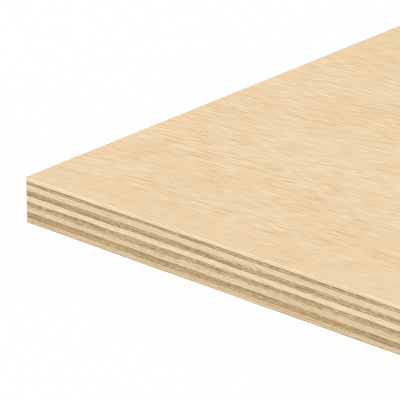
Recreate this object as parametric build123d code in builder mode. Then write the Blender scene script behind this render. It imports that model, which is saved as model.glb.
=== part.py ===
"""Birch plywood sheet: nine peeled veneers glued crosswise, trimmed square, sanded on both faces.

Millimetres, +Z up. The origin is the middle of the back face, which is the face that the sheet lies on.
X runs along the grain of the face veneer, which is the sheet's long side.
"""

from build123d import *
import os

# Trimmed outline of the sheet
SHEET_LENGTH = 2440.0
SHEET_WIDTH = 1220.0

# Thickness of the veneers: the face veneer is sanded thinnest, and the band under it is peeled thin too
FACE_VENEER = 0.94
FACE_BAND = 0.93
LONG_PLY = 1.37
CROSS_PLY = 1.55
BACK_VENEER = 1.37

# Sharp corners and arrises are eased with abrasive paper after trimming, never right through an outer veneer
EASED_RADIUS = 0.45
EASED_LIMIT_SHARE = 0.8
eased_radius = min(EASED_RADIUS, EASED_LIMIT_SHARE * min(FACE_VENEER, BACK_VENEER))

# Which of a veneer's faces, sorted by height, is on the outside of the sheet
LOWER_FACE = 0
UPPER_FACE = -1
NO_FACE = None

# Lay-up from the floor to the top. Long plies have their grain along X and cross plies along Y
LAY_UP = (
    ("back_veneer", BACK_VENEER, LOWER_FACE),
    ("cross_ply_lower", CROSS_PLY, NO_FACE),
    ("long_ply_lower", LONG_PLY, NO_FACE),
    ("cross_ply_below_centre", CROSS_PLY, NO_FACE),
    ("centre_ply", LONG_PLY, NO_FACE),
    ("cross_ply_above_centre", CROSS_PLY, NO_FACE),
    ("long_ply_upper", LONG_PLY, NO_FACE),
    ("cross_ply_upper", FACE_BAND, NO_FACE),
    ("face_veneer", FACE_VENEER, UPPER_FACE),
)


def make_ply(thickness, underside, outer_face):
    """One veneer, trimmed to the sheet's outline, with its corners and any outer arrises eased."""
    with BuildPart() as ply:
        with BuildSketch(Plane.XY.offset(underside)):
            Rectangle(SHEET_LENGTH, SHEET_WIDTH)
        extrude(amount=thickness)
        eased_edges = ply.edges().filter_by(Axis.Z)
        if outer_face is not NO_FACE:
            eased_edges += ply.faces().sort_by(Axis.Z)[outer_face].edges()
        fillet(eased_edges, radius=eased_radius)
    return ply


# Each veneer lies on the one before it, glued face to face
os.makedirs("parts", exist_ok=True)
underside = 0.0
for name, thickness, outer_face in LAY_UP:
    ply = make_ply(thickness, underside, outer_face)
    ply.part.label = name
    export_step(ply.part, f"parts/{name}.step")
    underside += thickness
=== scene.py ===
"""A birch plywood sheet on a white floor: nine veneers with grain, glue lines and eased arrises."""

from collections import namedtuple
import math

import bpy
from mathutils import Matrix, Vector
import numpy as np


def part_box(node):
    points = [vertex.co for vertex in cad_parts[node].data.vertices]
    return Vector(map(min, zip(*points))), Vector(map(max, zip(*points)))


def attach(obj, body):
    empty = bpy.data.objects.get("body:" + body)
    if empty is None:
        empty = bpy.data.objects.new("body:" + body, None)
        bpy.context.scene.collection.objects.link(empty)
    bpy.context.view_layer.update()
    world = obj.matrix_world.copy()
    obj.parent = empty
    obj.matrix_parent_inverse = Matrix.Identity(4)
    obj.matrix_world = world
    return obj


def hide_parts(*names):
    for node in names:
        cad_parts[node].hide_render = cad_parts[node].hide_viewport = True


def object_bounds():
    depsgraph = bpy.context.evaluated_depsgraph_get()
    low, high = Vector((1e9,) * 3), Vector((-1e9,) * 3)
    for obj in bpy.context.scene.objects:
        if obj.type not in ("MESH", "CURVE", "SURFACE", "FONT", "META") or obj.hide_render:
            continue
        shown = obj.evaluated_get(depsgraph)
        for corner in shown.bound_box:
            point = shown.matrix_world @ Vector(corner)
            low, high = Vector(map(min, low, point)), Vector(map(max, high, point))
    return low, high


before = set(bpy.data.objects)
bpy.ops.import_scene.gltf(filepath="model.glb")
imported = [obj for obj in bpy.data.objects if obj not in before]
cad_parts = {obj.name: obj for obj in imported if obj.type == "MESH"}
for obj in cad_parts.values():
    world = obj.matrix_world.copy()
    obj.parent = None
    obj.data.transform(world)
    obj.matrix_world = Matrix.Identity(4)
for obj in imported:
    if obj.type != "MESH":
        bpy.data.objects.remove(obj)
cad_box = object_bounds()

MM = 0.001

# Camera, fitted to the outline of the sheet's corner in the photograph's frame of 400 by 400 pixels
PHOTO_SIDE = 400.0
CORNER_PIXEL = (25.35, 176.83)
CORNER_DEPTH = 0.78646
CAMERA_YAW = math.radians(41.282)
CAMERA_PITCH = math.radians(22.459)
LENS = 290.55
SENSOR = 36.0
CLIP = (0.05, 500.0)
PIXEL_FILTER = 1.2

# Light: the sky and the lamp together light the top of the sheet at a level of about 1
SKY_LEVEL = 0.785
LAMP_LEVEL = 0.80
LAMP_ANGLE = math.radians(40)
LAMP_TURN = (math.radians(32), 0.0, math.radians(-12))
FLOOR_SIDE = 120.0
FLOOR_COLOUR = (0.98, 0.98, 0.98, 1.0)
FLOOR_WHITE_SHARE = 0.91

# Modelling of the veneers
EASED_RADIUS = 0.45 * MM
UPPER_ARRIS = 0.25 * MM
LOWER_ARRIS = 0.18 * MM
ARRIS_SWING = 0.05 * MM
ARRIS_SWINGS = ((2 * ARRIS_SWING / MM, 37), (ARRIS_SWING / MM, 11))
STATION = 2.5 * MM
FACE_CELL = 20 * MM
HIDDEN_CELL = 305 * MM
EDGE_ROWS = 6
ARRIS_ROWS = 4
CORNER_ROWS = 4
GLUE_SWINGS = ((0.055, 190), (0.04, 61), (0.03, 23), (0.018, 9))
GLUE_SEED = 28
RELIEF_SWINGS = ((0.010, 41), (0.008, 13), (0.006, 6))
WAVE_SPREADS = (0.73, 1.0, 1.31)
END_GRAIN_RECESS = 0.03 * MM
SIDE_GRAIN_RECESS = 0.008 * MM

# Material slots of every veneer's mesh
FACE_SLOT, LONG_EDGE_SLOT, END_EDGE_SLOT = range(3)

# Layout of the square that a veneer's surface is spread out on, in shares of its side. The corner that is
# seen closest gets more than its share, and the edges are cut into strips that lie above one another.
LAID_OUT = "OFBake"
NEAR = 160 * MM
NEAR_LENGTH = 0.2
NEAR_WIDTH = 0.6
FACE_HEIGHT = 0.74
HIDDEN_HEIGHT = 0.03
HIDDEN_LENGTH = 0.5
LAYOUT_GAP = 0.004
OUTER_STRIPS = 13
INNER_STRIPS = 25
STRIP_GAP = 0.1
CAP_PLACE = (0.0, 0.5)

# Lay-up from the floor to the top, with the look of each veneer's edges. side is the colour where an edge is
# cut along the grain and end where it is cut across it, in sRGB, and life says how lively both are. stripe is
# a tan line in the side grain, as a share of the veneer's height and a depth of tone. ring is where a growth
# ring divides the end grain, pale above it or below it, and rims says how much darker the end grain is at its
# lower and upper border. seed moves the noise.
Ply = namedtuple("Ply", "node slot long_grain side end life stripe ring pale_above rims seed")
# The side colours grow darker from the face down to the back: partly the veneers' own tone, partly painted
# shade toward the floor.
PLIES = (
    Ply("back_veneer", "back_birch", True, (220, 198, 162), (190, 164, 126),
        1.1, (0.66, 0.2), 0.5, True, (0.0, 0.1), 87.7),
    Ply("cross_ply_lower", "cross_grain_birch", False, (228, 205, 169), (188, 163, 124),
        0.85, (0.4, 0.2), -0.4, False, (0.0, 0.06), 60.0),
    Ply("long_ply_lower", "long_grain_birch", True, (227, 204, 168), (191, 166, 128),
        1.0, (0.85, 0.15), 0.4, False, (0.1, 0.1), 61.3),
    Ply("cross_ply_below_centre", "cross_grain_birch", False, (231, 208, 173), (188, 163, 125),
        1.0, (0.3, 0.2), 0.34, False, (0.0, 0.0), 88.9),
    Ply("centre_ply", "long_grain_birch", True, (236, 216, 184), (193, 168, 130),
        0.95, (0.1, 0.12), 0.7, True, (0.1, 0.1), 90.0),
    Ply("cross_ply_above_centre", "cross_grain_birch", False, (230, 207, 172), (186, 161, 122),
        1.0, (0.6, 0.2), 0.67, True, (0.1, 0.03), 100.0),
    Ply("long_ply_upper", "long_grain_birch", True, (231, 208, 172), (190, 165, 127),
        0.8, (0.2, 0.0), 0.5, False, (0.1, 0.1), 122.3),
    Ply("cross_ply_upper", "cross_grain_birch", False, (232, 209, 174), (190, 165, 127),
        1.1, (0.5, 0.2), -0.4, False, (0.1, 0.5), 120.0),
    Ply("face_veneer", "face_birch", True, (241, 221, 189), (195, 170, 132),
        0.7, (0.58, 0.3), 0.5, True, (0.1, 0.0), 138.9),
)
BACK, FACE = PLIES[0].node, PLIES[-1].node

# The sides of the outline that run along the sheet, counted from the front
LONG_SIDES = (0, 2)

(left, front, floor_level), (right, rear, top) = cad_box
length = right - left
width = rear - front


def linear(colour, alpha=1.0):
    """An sRGB colour of 0 to 255 as Blender's linear colour."""
    shares = [channel / 255 for channel in colour]
    return [c / 12.92 if c <= 0.04045 else ((c + 0.055) / 1.055) ** 2.4 for c in shares] + [alpha]


# Outline of the sheet

Outline = namedtuple("Outline", "points normals run sides")


def sheet_outline():
    """The sheet's outline with round corners, anticlockwise from the front left, a point every STATION."""
    corners = [(left, front), (right, front), (right, rear), (left, rear)]
    points, normals, sides = [], [], []
    for side in range(4):
        start = Vector(corners[side])
        along = Vector(corners[(side + 1) % 4]) - start
        reach = along.length
        along.normalize()
        outward = Vector((along.y, -along.x))
        steps = round(reach / STATION)
        places = [EASED_RADIUS] + [reach * k / steps for k in range(1, steps)] + [reach - EASED_RADIUS]
        for place in places:
            points.append(start + along * place)
            normals.append(outward)
            sides.append(side)
        centre = start + along * (reach - EASED_RADIUS) - outward * EASED_RADIUS
        for k in range(1, CORNER_ROWS + 1):
            turn = math.pi / 2 * k / (CORNER_ROWS + 1)
            normal = outward * math.cos(turn) + along * math.sin(turn)
            points.append(centre + normal * EASED_RADIUS)
            normals.append(normal)
            sides.append(side if 2 * k <= CORNER_ROWS else (side + 1) % 4)
    points = np.array(points)
    steps = np.linalg.norm(np.roll(points, -1, axis=0) - points, axis=1)
    run = np.concatenate([[0.0], np.cumsum(steps)])
    return Outline(points, np.array(normals), run, np.array(sides))


outline = sheet_outline()
count = len(outline.points)
around = outline.run[-1]


def swing(swings, rng):
    """A gentle wave along the whole outline: sines of about those heights and lengths in millimetres."""
    total = np.zeros(count)
    for height, wave_length in swings:
        waves = round(around / (wave_length * MM))
        for spread in WAVE_SPREADS:
            turns = 2 * math.pi * round(waves * spread) / around
            total += height * MM / 2 * np.sin(turns * outline.run[:-1] + rng.uniform(0, 2 * math.pi))
    return total


def glue_lines():
    """Heights of the veneers' borders along the outline: floor, eight glue lines that waver, and top."""
    rng = np.random.default_rng(GLUE_SEED)
    levels = [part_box(ply.node)[0][2] for ply in PLIES] + [top]
    lines = [np.full(count, level) for level in levels]
    return [lines[0]] + [line + swing(GLUE_SWINGS, rng) for line in lines[1:-1]] + [lines[-1]]


# Mesh of one veneer

def cap_faces(rim, columns, rows, first_inner):
    """Triangles and squares that close a rim of outline points over an inner grid, seen from above."""
    def inner(column, row):
        return first_inner + (row - 1) * (columns - 1) + column - 1

    per_column = round(length / columns / STATION)
    per_row = round(width / rows / STATION)
    long_side = round(length / STATION) + 1 + CORNER_ROWS
    short_side = round(width / STATION) + 1 + CORNER_ROWS
    marks = [(c * per_column, inner(c, 1)) for c in range(1, columns)]
    start = long_side
    marks += [(start + r * per_row, inner(columns - 1, r)) for r in range(1, rows)]
    start += short_side
    marks += [(start + c * per_column, inner(columns - c, rows - 1)) for c in range(1, columns)]
    start += long_side
    marks += [(start + r * per_row, inner(1, rows - r)) for r in range(1, rows)]
    faces = []
    for (begin, a), (end, b) in zip(marks, marks[1:] + [(marks[0][0] + count, marks[0][1])]):
        outer = [rim[k % count] for k in range(begin, end + 1)]
        half = len(outer) // 2
        faces += [(p, q, a if k < half else b) for k, (p, q) in enumerate(zip(outer, outer[1:]))]
        if a != b:
            faces.append((outer[half], b, a))
    for row in range(1, rows - 1):
        for column in range(1, columns - 1):
            near = (inner(column, row), inner(column + 1, row))
            far = (inner(column + 1, row + 1), inner(column, row + 1))
            faces.append(near + far)
    return faces


def grid_points(columns, rows, level):
    """Inner points of a cap, row by row."""
    xs = left + length * np.arange(1, columns) / columns
    ys = front + width * np.arange(1, rows) / rows
    return np.array([(x, y, level) for y in ys for x in xs])


def edge_profile(ply, bottom, crest, rng):
    """Rows of (inset, height, share across) from the lower to the upper rim, each all round the outline."""
    along_grain = np.isin(outline.sides, LONG_SIDES) == ply.long_grain
    recess = np.where(along_grain, SIDE_GRAIN_RECESS, END_GRAIN_RECESS)
    relief = np.abs(swing(RELIEF_SWINGS, rng)) * recess / END_GRAIN_RECESS
    wear = np.clip(swing(ARRIS_SWINGS, rng), -ARRIS_SWING, ARRIS_SWING)
    easing = (LOWER_ARRIS if ply.node == BACK else UPPER_ARRIS) + wear
    lower = bottom + (easing if ply.node == BACK else 0)
    upper = crest - (easing if ply.node == FACE else 0)
    rows = []
    turns = [math.pi / 2 * (1 - k / ARRIS_ROWS) for k in range(ARRIS_ROWS)]
    if ply.node == BACK:
        rows += [(easing * (1 - math.cos(t)), lower - easing * math.sin(t)) for t in turns]
    for k in range(EDGE_ROWS + 1):
        share = k / EDGE_ROWS
        rows.append(((recess + relief) * math.sin(math.pi * share), lower + (upper - lower) * share))
    if ply.node == FACE:
        rows += [(easing * (1 - math.cos(t)), upper + easing * math.sin(t)) for t in reversed(turns)]
    return [(inset, height, (height - bottom) / (crest - bottom)) for inset, height in rows]


def face_layout(places, start, end):
    """Where places on the veneer's face lie on the square, between two corners of a block of it."""
    across = np.interp(places[:, 0], (left, left + NEAR, right), (0.0, NEAR_LENGTH, 1.0))
    upward = np.interp(places[:, 1], (front, front + NEAR, rear), (0.0, NEAR_WIDTH, 1.0))
    block = np.array(end) - start - 2 * LAYOUT_GAP
    return np.array(start) + LAYOUT_GAP + block * np.column_stack((across, upward))


def edge_layout(strips, ceiling):
    """For every station of the edge, where it starts and ends along its strip, and the strip's floor."""
    marks = np.concatenate(([0.0], np.linspace(NEAR, around, strips)))
    starts = np.searchsorted(outline.run, marks)
    strip = np.searchsorted(starts, np.arange(count), side="right") - 1
    begin, end = outline.run[starts[strip]], outline.run[starts[strip + 1]]
    along = [(run - begin) / (end - begin) for run in (outline.run[:-1], outline.run[1:])]
    return along, HIDDEN_HEIGHT + (ceiling - HIDDEN_HEIGHT) * strip / strips


def build_ply(ply, bottom, crest, seed):
    """A closed mesh of one veneer. Its map ply_uv holds metres along the edge and the share across it."""
    profile = edge_profile(ply, bottom, crest, np.random.default_rng(seed))
    rings = []
    for inset, height, _ in profile:
        rings.append(np.column_stack((outline.points - outline.normals * inset[:, None], height)))
    points = np.concatenate(rings)
    outer = ply.node in (BACK, FACE)
    strips, ceiling = (OUTER_STRIPS, 1 - FACE_HEIGHT) if outer else (INNER_STRIPS, 1.0)
    (begin, end), strip_floor = edge_layout(strips, ceiling)
    strip_height = (ceiling - HIDDEN_HEIGHT) / strips
    here = np.arange(count)
    after = (here + 1) % count
    along = np.column_stack((outline.run[:-1], outline.run[1:], outline.run[1:], outline.run[:-1]))
    over = LAYOUT_GAP + (1 - 2 * LAYOUT_GAP) * np.column_stack((begin, end, end, begin))
    faces, slots, shares, layout = [], [], [], []
    for row in range(len(rings) - 1):
        low, high = profile[row][2], profile[row + 1][2]
        across = np.column_stack((low, low[after], high[after], high))
        upward = strip_floor[:, None] + strip_height * (STRIP_GAP + (1 - 2 * STRIP_GAP) * across)
        faces += (np.column_stack((here, after, after + count, here + count)) + row * count).tolist()
        slots += np.where(np.isin(outline.sides, LONG_SIDES), LONG_EDGE_SLOT, END_EDGE_SLOT).tolist()
        shares.append(np.column_stack((along.ravel(), across.ravel())))
        layout.append(np.column_stack((over.ravel(), upward.ravel())))
    caps = (
        (0, bottom.mean(), ply.node == BACK),
        (len(rings) - 1, crest.mean(), ply.node == FACE),
    )
    for rim_row, level, seen in caps:
        cell = FACE_CELL if seen else HIDDEN_CELL
        columns, rows = round(length / cell), round(width / cell)
        rim = (rim_row * count + here).tolist()
        closing = cap_faces(rim, columns, rows, len(points))
        points = np.concatenate((points, grid_points(columns, rows, level)))
        if rim_row == 0:
            closing = [face[::-1] for face in closing]
        corners = [corner for face in closing for corner in face]
        block = ((0.0, ceiling), (1.0, 1.0))
        if not seen:
            begins = 0.0 if rim_row == 0 else HIDDEN_LENGTH
            block = ((begins, 0.0), (begins + HIDDEN_LENGTH, HIDDEN_HEIGHT))
        faces += closing
        slots += [FACE_SLOT] * len(closing)
        shares.append(np.tile(CAP_PLACE, (len(corners), 1)))
        layout.append(face_layout(points[corners], *block))
    mesh = bpy.data.meshes.new(ply.node + "_wood")
    mesh.from_pydata(points.tolist(), [], faces)
    mesh.polygons.foreach_set("material_index", slots)
    mesh.uv_layers.new(name="ply_uv").data.foreach_set("uv", np.concatenate(shares).ravel())
    mesh.uv_layers.new(name=LAID_OUT).data.foreach_set("uv", np.concatenate(layout).ravel())
    ends = np.empty(2 * len(mesh.edges), dtype=np.int32)
    mesh.edges.foreach_get("vertices", ends)
    ring_of = ends.reshape(-1, 2) // count
    on_rim = (ring_of[:, 0] == ring_of[:, 1]) & np.isin(ring_of[:, 0], (0, len(rings) - 1))
    mesh.edges.foreach_set("use_edge_sharp", on_rim)
    mesh.polygons.foreach_set("use_smooth", [True] * len(faces))
    mesh.update()
    piece = bpy.data.objects.new(ply.node + "_wood", mesh)
    bpy.context.scene.collection.objects.link(piece)
    return piece


# Shader nodes

# Next to no shine, because raw sanded wood is matt. Without any, a baked roughness would come out plain.
SHINE = 0.000001
ROUGHNESS_SPREAD = 0.1

# How far one step of a seed moves a noise
NOISE_STEP = (3.7, 7.9, 5.3)

# A Mix node's sockets for colours
MIX_UNDER, MIX_OVER, MIX_RESULT = 6, 7, 2

# Marks of a grain: length and width in millimetres, detail of the noise and weight
Marks = namedtuple("Marks", "length width detail weight", defaults=(1.0,))


class Graph:
    """A material's nodes with short ways to add to them. A value is a number, a vector or an output."""

    def __init__(self, name):
        self.material = bpy.data.materials.new(name)
        self.material.use_nodes = True
        self.tree = self.material.node_tree
        self.shader = self.tree.nodes["Principled BSDF"]

    def node(self, kind, values, **settings):
        made = self.tree.nodes.new(kind)
        for name, value in settings.items():
            setattr(made, name, value)
        for socket, value in values.items():
            self.put(made.inputs[socket], value)
        return made

    def put(self, socket, value):
        if isinstance(value, bpy.types.NodeSocket):
            self.tree.links.new(value, socket)
        else:
            socket.default_value = value

    def math(self, operation, *values):
        return self.node("ShaderNodeMath", dict(enumerate(values)), operation=operation).outputs[0]

    def add(self, a, b):
        return self.math("ADD", a, b)

    def times(self, a, b):
        return self.math("MULTIPLY", a, b)

    def ease(self, value, low, high, start=0.0, end=1.0):
        """Goes smoothly from start to end as value goes from low to high."""
        values = {"Value": value, "From Min": low, "From Max": high, "To Min": start, "To Max": end}
        return self.node("ShaderNodeMapRange", values, interpolation_type="SMOOTHSTEP").outputs[0]

    def vector(self, x, y, z):
        return self.node("ShaderNodeCombineXYZ", {"X": x, "Y": y, "Z": z}).outputs[0]

    def vector_math(self, operation, a, b):
        return self.node("ShaderNodeVectorMath", {0: a, 1: b}, operation=operation)

    def noise(self, place, marks, seed, roughness=0.5):
        """Marks of about that length and width: from 0 to 1, about 0.5 on average."""
        scaled = self.vector_math("MULTIPLY", place, (1 / marks.length, 1 / marks.width, 1.0)).outputs[0]
        moved = self.vector_math("ADD", scaled, tuple(step * seed for step in NOISE_STEP)).outputs[0]
        values = {"Vector": moved, "Scale": 1.0, "Detail": marks.detail, "Roughness": roughness}
        return self.node("ShaderNodeTexNoise", values, noise_dimensions="3D").outputs["Fac"]

    def centred(self, place, marks, seed, roughness=0.5):
        """The same marks, about 0 on average and as strong as their weight."""
        return self.times(self.add(self.noise(place, marks, seed, roughness), -0.5), marks.weight)

    def ramp(self, value, *stops):
        """A colour for the value, from stops of (value, sRGB colour)."""
        node = self.node("ShaderNodeValToRGB", {"Fac": value})
        elements = node.color_ramp.elements
        while len(elements) < len(stops):
            elements.new(0.5)
        for element, (place, colour) in zip(elements, stops):
            element.position = place
            element.color = linear(colour)
        return node.outputs["Color"]

    def mix(self, share, colour, over):
        """The colour with that share of a plain sRGB colour over it."""
        node = self.node("ShaderNodeMix", {"Factor": share}, data_type="RGBA")
        self.put(node.inputs[MIX_UNDER], colour)
        self.put(node.inputs[MIX_OVER], linear(over))
        return node.outputs[MIX_RESULT]

    def finish(self, colour, tone, roughness, bump):
        """Sets the shader: matt raw wood with that colour, rougher and lower where the tone is dark."""
        self.put(self.shader.inputs["Base Color"], colour)
        ends = (roughness + ROUGHNESS_SPREAD, roughness - ROUGHNESS_SPREAD)
        self.put(self.shader.inputs["Roughness"], self.ease(tone, 0.0, 1.0, *ends))
        self.put(self.shader.inputs["Specular IOR Level"], SHINE)
        values = {"Height": tone, "Distance": bump, "Strength": 1.0}
        self.put(self.shader.inputs["Normal"], self.node("ShaderNodeBump", values).outputs["Normal"])
        return self.material


def shifted(colour, step, axis):
    """An sRGB colour moved by that many steps along an axis of colour."""
    return tuple(channel + step * part for channel, part in zip(colour, axis))


# Grain of the face and the back, in millimetres, with ranges of noise that a mark goes over

GRAIN_SLOPE = math.tan(math.radians(7.0))
GRAIN_BEND = 600.0
DRIFT = Marks(70, 22, 1.0, 3.0)
CURL = Marks(12, 4, 0.0, 0.65)
SILK = Marks(9.0, 0.44, 1.0, 1.18)
SILK_ROUGHNESS = 0.42
FIBRE = Marks(4.0, 0.38, 0.0, 1.0)
PATCH = Marks(46, 15, 1.0, 0.36)
PALE = Marks(12.0, 0.4, 1.0, 0.2)
PALE_RANGE = (0.58, 0.74)
BROWN = Marks(14.0, 0.3, 1.0, 0.8)
BROWN_RANGE = (0.62, 0.72)
RING = Marks(260, 34, 1.0, 0.12)
RING_COUNT = 9.0
RING_HALF = 0.06
RING_BREAKS = Marks(40, 6, 1.0)
LIVELY = Marks(60, 20, 1.0)
LIVELY_RANGE = (0.3, 0.7)
LIVELY_LEVELS = (0.85, 1.15)
CALM_FROM = 4.0
CALM_STRIP = 18.0
CALM_LEVEL = 0.52
FACE_TONE = 0.522
FLAME = Marks(900, 130, 1.0, 0.3)
FLAME_COUNT = 10.0
FLAME_MEAN = 0.33
FIGURE_NEAR = 130.0
FIGURE_FAR = 420.0
FACE_STOPS = (0.0, 0.24, 0.5, 1.0)
FACE_FINISH = (0.62, 0.015 * MM)


def face_material(name, colours, seed):
    """Rotary-peeled birch, sanded: fine fibres, pale and brown streaks side by side, and a flamed figure."""
    g = Graph(name)
    here = g.node("ShaderNodeTexCoord", {}).outputs["Object"]
    here = g.vector_math("MULTIPLY", here, (1 / MM,) * 3).outputs[0]
    axes = g.node("ShaderNodeSeparateXYZ", {"Vector": here})
    along, across = axes.outputs["X"], axes.outputs["Y"]
    turn = g.math("SINE", g.times(g.add(along, -left / MM), 1 / GRAIN_BEND))
    across = g.math("SUBTRACT", across, g.times(turn, GRAIN_SLOPE * GRAIN_BEND))
    straight = g.vector(along, across, 0.0)
    bent = g.add(g.centred(straight, DRIFT, seed), g.centred(straight, CURL, seed + 1))
    place = g.vector(along, g.add(across, bent), 0.0)

    silk = g.centred(place, SILK, seed + 2, SILK_ROUGHNESS)
    fibre = g.centred(place, FIBRE, seed + 3)
    patch = g.centred(place, PATCH, seed + 4)
    pale = g.times(g.ease(g.noise(place, PALE, seed + 5), *PALE_RANGE), PALE.weight)
    brown = g.times(g.ease(g.noise(place, BROWN, seed + 6), *BROWN_RANGE), BROWN.weight)
    ring = g.math("FRACT", g.times(g.noise(place, RING, seed + 7), RING_COUNT))
    ring = g.ease(g.math("ABSOLUTE", g.add(ring, -0.5)), RING_HALF, 0.0)
    ring = g.times(ring, g.noise(place, RING_BREAKS, seed + 8))
    lively = g.ease(g.noise(place, LIVELY, seed + 9), *LIVELY_RANGE, *LIVELY_LEVELS)
    strip = (front / MM + CALM_FROM, front / MM + CALM_STRIP)
    calm = g.ease(axes.outputs["Y"], *strip, CALM_LEVEL, 1.0)
    streaks = g.add(g.add(silk, fibre), g.math("SUBTRACT", pale, brown))
    grain = g.add(g.add(g.times(streaks, g.times(lively, calm)), patch), FACE_TONE)

    flame = g.math("FRACT", g.times(g.noise(place, FLAME, seed + 10), FLAME_COUNT))
    flame = g.times(g.math("SUBTRACT", FLAME_MEAN, g.times(flame, flame)), FLAME.weight)
    corner = (left / MM, front / MM, top / MM)
    reach = g.vector_math("DISTANCE", here, corner).outputs["Value"]
    flame = g.times(flame, g.ease(reach, FIGURE_NEAR, FIGURE_FAR))
    figure = g.math("SUBTRACT", flame, g.times(ring, RING.weight))
    colour = g.ramp(g.add(grain, figure), *zip(FACE_STOPS, colours))
    return g.finish(colour, grain, *FACE_FINISH)


# Edges cut along the grain. An axis says how red, green and blue go together from dark to light streaks.

SIDE_AXIS = (1.0, 1.4, 1.85)
SIDE_STOPS = ((0.0, -22), (0.5, 0), (1.0, 11))
SIDE_STREAK = Marks(26.0, 0.25, 1.0, 1.02)
SIDE_SPOT = Marks(2.4, 0.26, 1.0, 1.1)
SIDE_SLOW = Marks(60.0, 1.5, 1.0, 0.3)
SIDE_WAVER = Marks(40.0, 9.0, 1.0, 0.35)
STRIPE_FADE = (0.17, 0.05)
STRIPE_BREAKS = Marks(14.0, 9.0, 2.0)
STRIPE_RANGE = (0.3, 0.6)
# Painted highlight on the face veneer's edge: paler upward, most just below the upper arris, eased back on
# the arris itself
HIGHLIGHT_END = (0.9, 0.98)
HIGHLIGHT_FALL = 1.1
SIDE_TONE = 0.5
# Painted shade: the foot of the back veneer's edge is painted grey-brown, darkest where it meets the floor
FOOT_SHADE = (128, 116, 94)
FOOT_SHADE_FADE = (0.19, 0.08)
FOOT_SHADE_WAVER = 0.1 / SIDE_SPOT.weight
SIDE_FINISH = (0.66, 0.02 * MM)


def edge_place(g, thickness):
    """Places on a veneer's edge: millimetres along and across it, and the share of its height."""
    uv = g.node("ShaderNodeUVMap", {}, uv_map="ply_uv").outputs["UV"]
    axes = g.node("ShaderNodeSeparateXYZ", {"Vector": uv})
    share = axes.outputs["Y"]
    return g.vector(g.times(axes.outputs["X"], 1 / MM), g.times(share, thickness / MM), 0.0), share


def side_material(name, ply, thickness, highlight, foot_shade, seed):
    """The edge of a veneer cut along its grain: pale, with long streaks and spots. A painted highlight can
    make it paler upward, and painted shade can darken its foot where it meets the floor.
    """
    g = Graph(name)
    place, share = edge_place(g, thickness)
    streak = g.centred(place, SIDE_STREAK, seed)
    spot = g.centred(place, SIDE_SPOT, seed + 1)
    slow = g.centred(place, SIDE_SLOW, seed + 2)
    grain = g.times(g.add(g.add(streak, spot), slow), ply.life)
    height, depth = ply.stripe
    stripe = g.add(g.add(share, g.centred(place, SIDE_WAVER, seed + 3)), -height)
    stripe = g.ease(g.math("ABSOLUTE", stripe), *STRIPE_FADE, 0.0, depth)
    stripe = g.times(stripe, g.ease(g.noise(place, STRIPE_BREAKS, seed + 4), *STRIPE_RANGE))
    # Painted highlight: the edge is painted paler toward its top
    painted_highlight = g.times(g.add(share, -0.5), highlight)
    painted_highlight = g.math("SUBTRACT", painted_highlight, g.ease(share, *HIGHLIGHT_END, 0.0, HIGHLIGHT_FALL * highlight))
    tone = g.add(g.add(g.math("SUBTRACT", grain, stripe), painted_highlight), SIDE_TONE)
    colour = g.ramp(tone, *[(at, shifted(ply.side, step, SIDE_AXIS)) for at, step in SIDE_STOPS])
    # Painted shade along the foot of the edge, where it meets the floor
    painted_foot_shade = g.ease(g.add(share, g.times(spot, FOOT_SHADE_WAVER)), *FOOT_SHADE_FADE, 0.0, foot_shade)
    return g.finish(g.mix(painted_foot_shade, colour, FOOT_SHADE), tone, *SIDE_FINISH)


# Edges cut across the grain

END_AXIS = (1.0, 1.13, 1.24)
END_STOPS = ((0.0, -38), (0.3, -13), (0.5, 0), (0.78, 17))
END_WAVER = Marks(30.0, 4.0, 2.0, 0.42)
END_STREAK = Marks(12.0, 0.28, 1.0, 1.05)
END_FINE = Marks(1.6, 0.22, 0.0, 1.02)
END_SLOW = Marks(30.0, 0.8, 1.0, 0.42)
ZONE_HALF = 0.08
ZONE_LIFT = 0.19
LATE_BELOW = 0.16
LATE_HALF = 0.14
LATE_DEPTH = 0.12
LINE = Marks(34.0, 0.6, 1.0)
LINE_HALF = 0.07
LINE_DEPTH = 0.2
LINE_BREAKS = Marks(10.0, 0.7, 2.0)
LINE_RANGE = (0.4, 0.6)
TORN = Marks(1.8, 0.4, 2.0, 0.12)
RIM_BREAKS = Marks(5.0, 3.0, 2.0)
RIM_RANGE = (0.35, 0.6)
RIM_LEVELS = (0.5, 1.0)
LOWER_RIM = (0.18, 0.04)
UPPER_RIM = (0.56, 0.92)
FLECK = Marks(1.3, 0.2, 1.0, 0.6)
FLECK_RANGE = (0.6, 0.72)
FLECKS_LOW = (0.5, 0.12)
FLECKS_HIGH = (0.5, 0.88)
FLECK_LEVELS = (0.2, 1.0)
END_TONE = 0.54
END_FINISH = (0.72, 0.04 * MM)


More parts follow.
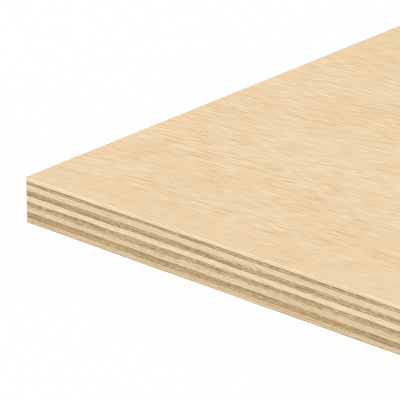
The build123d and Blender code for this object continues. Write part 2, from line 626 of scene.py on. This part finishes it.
def end_material(name, ply, thickness, seed):
    """The edge of a veneer cut across its grain: dark, with streaks, flecks, ring lines and dark borders."""
    g = Graph(name)
    place, share = edge_place(g, thickness)
    height = g.add(share, g.centred(place, END_WAVER, seed))
    ends = (0.0, ZONE_LIFT) if ply.pale_above else (ZONE_LIFT, 0.0)
    zone = g.ease(height, ply.ring - ZONE_HALF, ply.ring + ZONE_HALF, *ends)
    late = g.math("ABSOLUTE", g.add(height, LATE_BELOW - ply.ring))
    late = g.ease(late, LATE_HALF, 0.0, 0.0, LATE_DEPTH if ply.pale_above else 0.0)
    streak = g.centred(place, END_STREAK, seed + 1)
    fine = g.centred(place, END_FINE, seed + 2)
    slow = g.centred(place, END_SLOW, seed + 3)
    grain = g.times(g.add(streak, g.add(fine, slow)), ply.life)
    torn = g.add(share, g.centred(place, TORN, seed + 4))
    rims = [g.ease(torn, *fade, 0.0, depth) for fade, depth in zip((LOWER_RIM, UPPER_RIM), ply.rims)]
    broken = g.ease(g.noise(place, RIM_BREAKS, seed + 8), *RIM_RANGE, *RIM_LEVELS)
    rims = g.times(g.add(*rims), broken)
    fleck = g.ease(g.noise(place, FLECK, seed + 5), *FLECK_RANGE, 0.0, FLECK.weight)
    fleck = g.times(fleck, g.ease(share, *(FLECKS_LOW if ply.pale_above else FLECKS_HIGH), *FLECK_LEVELS))
    line = g.ease(g.math("ABSOLUTE", g.centred(place, LINE, seed + 6)), LINE_HALF, 0.0, 0.0, LINE_DEPTH)
    line = g.times(line, g.ease(g.noise(place, LINE_BREAKS, seed + 7), *LINE_RANGE))
    dark = g.add(g.add(line, fleck), g.add(late, rims))
    tone = g.add(zone, g.math("SUBTRACT", g.add(grain, END_TONE), dark))
    stops = [(at, shifted(ply.end, step, END_AXIS)) for at, step in END_STOPS]
    return g.finish(g.ramp(tone, *stops, (1.0, ply.side)), tone, *END_FINISH)


# Veneers. The colours of the face and the back go from brown strokes to pale streaks.

FACE_COLOURS = ((222, 186, 138), (232, 202, 159), (237, 211, 172), (246, 227, 197))
FACE_SEED = 52.1
# Strength of the painted highlight on the face veneer's edge
FACE_HIGHLIGHT = 0.5
BACK_COLOURS = ((211, 174, 127), (224, 193, 150), (230, 203, 164), (239, 217, 185))
BACK_SEED = 31.0
# Strength of the painted shade at the foot of the back veneer's edge
BACK_FOOT_SHADE = 0.65
END_SEED_STEP = 5

face_wood = face_material("birch_face", FACE_COLOURS, FACE_SEED)
back_wood = face_material("birch_back", BACK_COLOURS, BACK_SEED)
lines = glue_lines()
for index, ply in enumerate(PLIES):
    highlight = FACE_HIGHLIGHT if ply.node == FACE else 0.0
    foot_shade = BACK_FOOT_SHADE if ply.node == BACK else 0.0
    low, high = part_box(ply.node)
    thickness = high[2] - low[2]
    side_wood = side_material(ply.node + "_side_grain", ply, thickness, highlight, foot_shade, ply.seed)
    end_wood = end_material(ply.node + "_end_grain", ply, thickness, ply.seed + END_SEED_STEP)
    outer_wood = {FACE: face_wood, BACK: back_wood}.get(ply.node, side_wood)
    piece = build_ply(ply, lines[index], lines[index + 1], index)
    edges = (side_wood, end_wood) if ply.long_grain else (end_wood, side_wood)
    for material in (outer_wood, *edges):
        piece.data.materials.append(material)
    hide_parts(ply.node)
    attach(piece, "root")


# Floor, light and camera

def white_to_the_eye(tree):
    """1 for what the camera sees, straight or in a reflection, and 0 for the light that falls on things."""
    path = tree.nodes.new("ShaderNodeLightPath")
    seen = path.outputs["Is Camera Ray"]
    for name in ("Is Glossy Ray", "Is Transmission Ray"):
        either = tree.nodes.new("ShaderNodeMath")
        either.operation = "MAXIMUM"
        tree.links.new(seen, either.inputs[0])
        tree.links.new(path.outputs[name], either.inputs[1])
        seen = either.outputs[0]
    return seen


def add_floor():
    """A white floor that keeps the sheet's shadow."""
    half = FLOOR_SIDE / 2
    mesh = bpy.data.meshes.new("floor")
    signs = ((-1, -1), (1, -1), (1, 1), (-1, 1))
    mesh.from_pydata([(x * half, y * half, floor_level) for x, y in signs], [], [(0, 1, 2, 3)])
    floor = bpy.data.objects.new("floor", mesh)
    bpy.context.scene.collection.objects.link(floor)
    material = bpy.data.materials.new("floor_white")
    material.use_nodes = True
    tree = material.node_tree
    tree.nodes.clear()
    paint = tree.nodes.new("ShaderNodeBsdfDiffuse")
    paint.inputs["Color"].default_value = FLOOR_COLOUR
    glow = tree.nodes.new("ShaderNodeEmission")
    share = tree.nodes.new("ShaderNodeMath")
    share.operation = "MULTIPLY"
    share.inputs[1].default_value = FLOOR_WHITE_SHARE
    tree.links.new(white_to_the_eye(tree), share.inputs[0])
    blend = tree.nodes.new("ShaderNodeMixShader")
    tree.links.new(share.outputs[0], blend.inputs["Fac"])
    tree.links.new(paint.outputs[0], blend.inputs[1])
    tree.links.new(glow.outputs[0], blend.inputs[2])
    output = tree.nodes.new("ShaderNodeOutputMaterial")
    tree.links.new(blend.outputs[0], output.inputs["Surface"])
    mesh.materials.append(material)


def add_light():
    """An even white sky and one large soft lamp from the front."""
    scene = bpy.context.scene
    scene.world = bpy.data.worlds.new("studio")
    scene.world.use_nodes = True
    tree = scene.world.node_tree
    sky = tree.nodes["Background"]
    sky.inputs["Color"].default_value = (1.0, 1.0, 1.0, 1.0)
    level = tree.nodes.new("ShaderNodeMapRange")
    tree.links.new(white_to_the_eye(tree), level.inputs["Value"])
    level.inputs["To Min"].default_value = SKY_LEVEL
    scene.world.cycles.sampling_method = "NONE"
    tree.links.new(level.outputs[0], sky.inputs["Strength"])
    lamp = bpy.data.lights.new("soft_lamp", "SUN")
    lamp.energy = LAMP_LEVEL
    lamp.angle = LAMP_ANGLE
    holder = bpy.data.objects.new("soft_lamp", lamp)
    holder.rotation_euler = LAMP_TURN
    scene.collection.objects.link(holder)


def add_camera():
    """Sees the front left corner of the sheet where the photograph shows it."""
    data = bpy.data.cameras.new("camera")
    data.lens = LENS
    data.sensor_width = SENSOR
    data.clip_start, data.clip_end = CLIP
    camera = bpy.data.objects.new("camera", data)
    sin_yaw, cos_yaw = math.sin(CAMERA_YAW), math.cos(CAMERA_YAW)
    sin_pitch, cos_pitch = math.sin(CAMERA_PITCH), math.cos(CAMERA_PITCH)
    onward = Vector((-sin_yaw * cos_pitch, cos_yaw * cos_pitch, -sin_pitch))
    rightward = Vector((cos_yaw, sin_yaw, 0.0))
    upward = rightward.cross(onward)
    pixel = CORNER_DEPTH * SENSOR / LENS / PHOTO_SIDE
    to_right = (CORNER_PIXEL[0] - PHOTO_SIDE / 2) * pixel
    to_top = (PHOTO_SIDE / 2 - CORNER_PIXEL[1]) * pixel
    corner = Vector((left, front, top))
    place = corner - rightward * to_right - upward * to_top - onward * CORNER_DEPTH
    axes = Matrix((rightward, upward, -onward)).transposed()
    camera.matrix_world = Matrix.Translation(place) @ axes.to_4x4()
    bpy.context.scene.collection.objects.link(camera)
    bpy.context.scene.camera = camera


add_floor()
add_light()
add_camera()
bpy.context.scene.view_settings.view_transform = "Standard"
bpy.context.scene.cycles.use_denoising = False
bpy.context.scene.cycles.filter_width = PIXEL_FILTER
